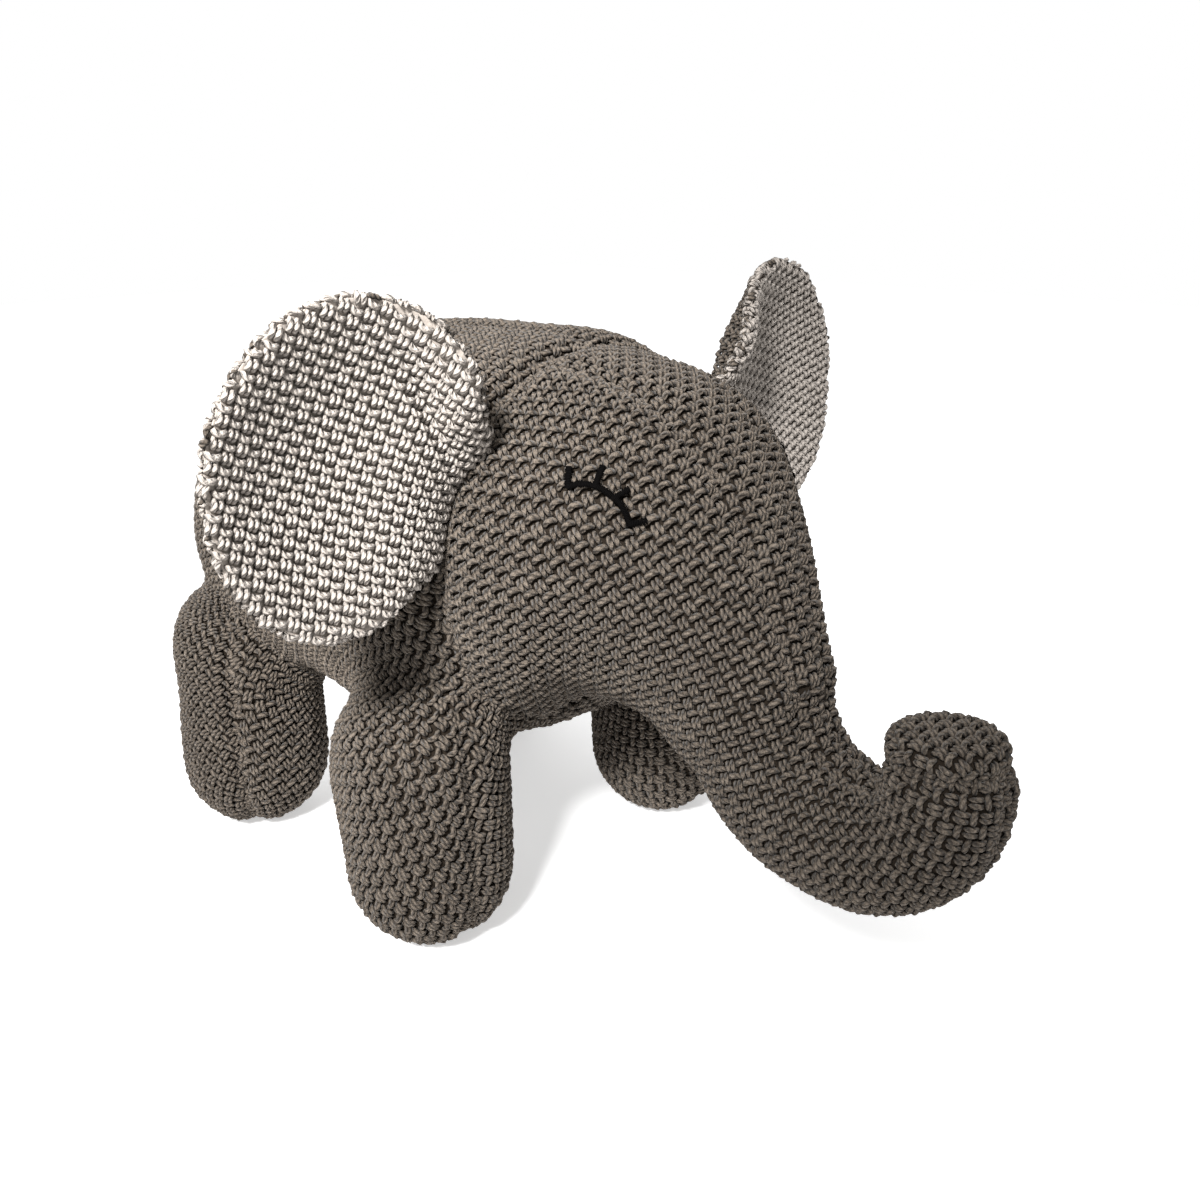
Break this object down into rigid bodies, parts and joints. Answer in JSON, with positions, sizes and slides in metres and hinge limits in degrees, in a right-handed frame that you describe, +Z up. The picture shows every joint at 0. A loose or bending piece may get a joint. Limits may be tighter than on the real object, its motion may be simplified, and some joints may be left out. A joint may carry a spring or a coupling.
{
  "type": "stuffed elephant",
  "caption": "Knitted stuffed elephant standing on four legs, with cupped cream-faced ears, closed embroidered eyes and a trunk curled up at its tip.",
  "frame": {"origin": "on the floor, under the middle of the toy's length and width", "axes": "+Z up; the face and trunk point along -Y; +X is the elephant's own left"},
  "size_m": [0.3594, 0.4462, 0.2836],
  "materials": {
    "taupe_knit": "chunky knit in moss stitch, warm dark taupe cotton yarn",
    "cream_knit": "chunky knit in moss stitch, cream cotton yarn",
    "polyester_filling": "loose white polyester fibre",
    "eye_thread": "black satin-stitched embroidery thread"
  },
  "bodies": {
    "body": {"torso_cover_right": "taupe_knit", "torso_cover_left": "taupe_knit", "belly_panel": "taupe_knit", "torso_filling": "polyester_filling", "neck_seam_cord": "taupe_knit", "head_cover_right": "taupe_knit", "head_cover_left": "taupe_knit", "forehead_gusset": "taupe_knit", "chin_panel": "taupe_knit", "head_filling": "polyester_filling", "eye_embroidery_right": "eye_thread", "eye_embroidery_left": "eye_thread"},
    "trunk": {"trunk_cover_right": "taupe_knit", "trunk_cover_left": "taupe_knit", "trunk_front_gusset": "taupe_knit", "trunk_tip_disc": "taupe_knit", "trunk_filling": "polyester_filling"},
    "ear_right": {"ear_front_right": "cream_knit", "ear_back_right": "taupe_knit", "ear_wadding_right": "polyester_filling"},
    "ear_left": {"ear_front_left": "cream_knit", "ear_back_left": "taupe_knit", "ear_wadding_left": "polyester_filling"},
    "leg_front_right": {"leg_outer_front_right": "taupe_knit", "leg_inner_front_right": "taupe_knit", "leg_filling_front_right": "polyester_filling"},
    "leg_front_left": {"leg_outer_front_left": "taupe_knit", "leg_inner_front_left": "taupe_knit", "leg_filling_front_left": "polyester_filling"},
    "leg_rear_right": {"leg_outer_rear_right": "taupe_knit", "leg_inner_rear_right": "taupe_knit", "leg_filling_rear_right": "polyester_filling"},
    "leg_rear_left": {"leg_outer_rear_left": "taupe_knit", "leg_inner_rear_left": "taupe_knit", "leg_filling_rear_left": "polyester_filling"},
    "tail": {"tail_cord": "taupe_knit", "tail_tuft": "taupe_knit"}
  },
  "joints": [
    {"name": "trunk_bend", "type": "hinge", "parent": "body", "child": "trunk", "pos_m": [0, -0.11555, 0.11592], "axis": [1, 0, 0], "range_deg": [-12, 10], "stiffness_Nm_per_rad": 3},
    {"name": "ear_right_fold", "type": "hinge", "parent": "body", "child": "ear_right", "pos_m": [-0.07736, -0.03803, 0.20444], "axis": [-0.3746, 0, -0.9272], "range_deg": [-40, 28], "stiffness_Nm_per_rad": 0.3},
    {"name": "ear_left_fold", "type": "hinge", "parent": "body", "child": "ear_left", "pos_m": [0.07736, -0.03803, 0.20444], "axis": [-0.3746, 0, 0.9272], "range_deg": [-40, 28], "stiffness_Nm_per_rad": 0.3},
    {"name": "leg_front_right_swing", "type": "hinge", "parent": "body", "child": "leg_front_right", "pos_m": [-0.079, 0.00245, 0.092], "axis": [1, 0, 0], "range_deg": [-10, 10], "stiffness_Nm_per_rad": 6},
    {"name": "leg_front_left_swing", "type": "hinge", "parent": "body", "child": "leg_front_left", "pos_m": [0.079, 0.00245, 0.092], "axis": [1, 0, 0], "range_deg": [-10, 10], "stiffness_Nm_per_rad": 6},
    {"name": "leg_rear_right_swing", "type": "hinge", "parent": "body", "child": "leg_rear_right", "pos_m": [-0.079, 0.15045, 0.092], "axis": [1, 0, 0], "range_deg": [-10, 10], "stiffness_Nm_per_rad": 6},
    {"name": "leg_rear_left_swing", "type": "hinge", "parent": "body", "child": "leg_rear_left", "pos_m": [0.079, 0.15045, 0.092], "axis": [1, 0, 0], "range_deg": [-10, 10], "stiffness_Nm_per_rad": 6},
    {"name": "tail_lift", "type": "hinge", "parent": "body", "child": "tail", "pos_m": [0, 0.19847, 0.1866], "axis": [1, 0, 0], "range_deg": [0, 70]}
  ]
}
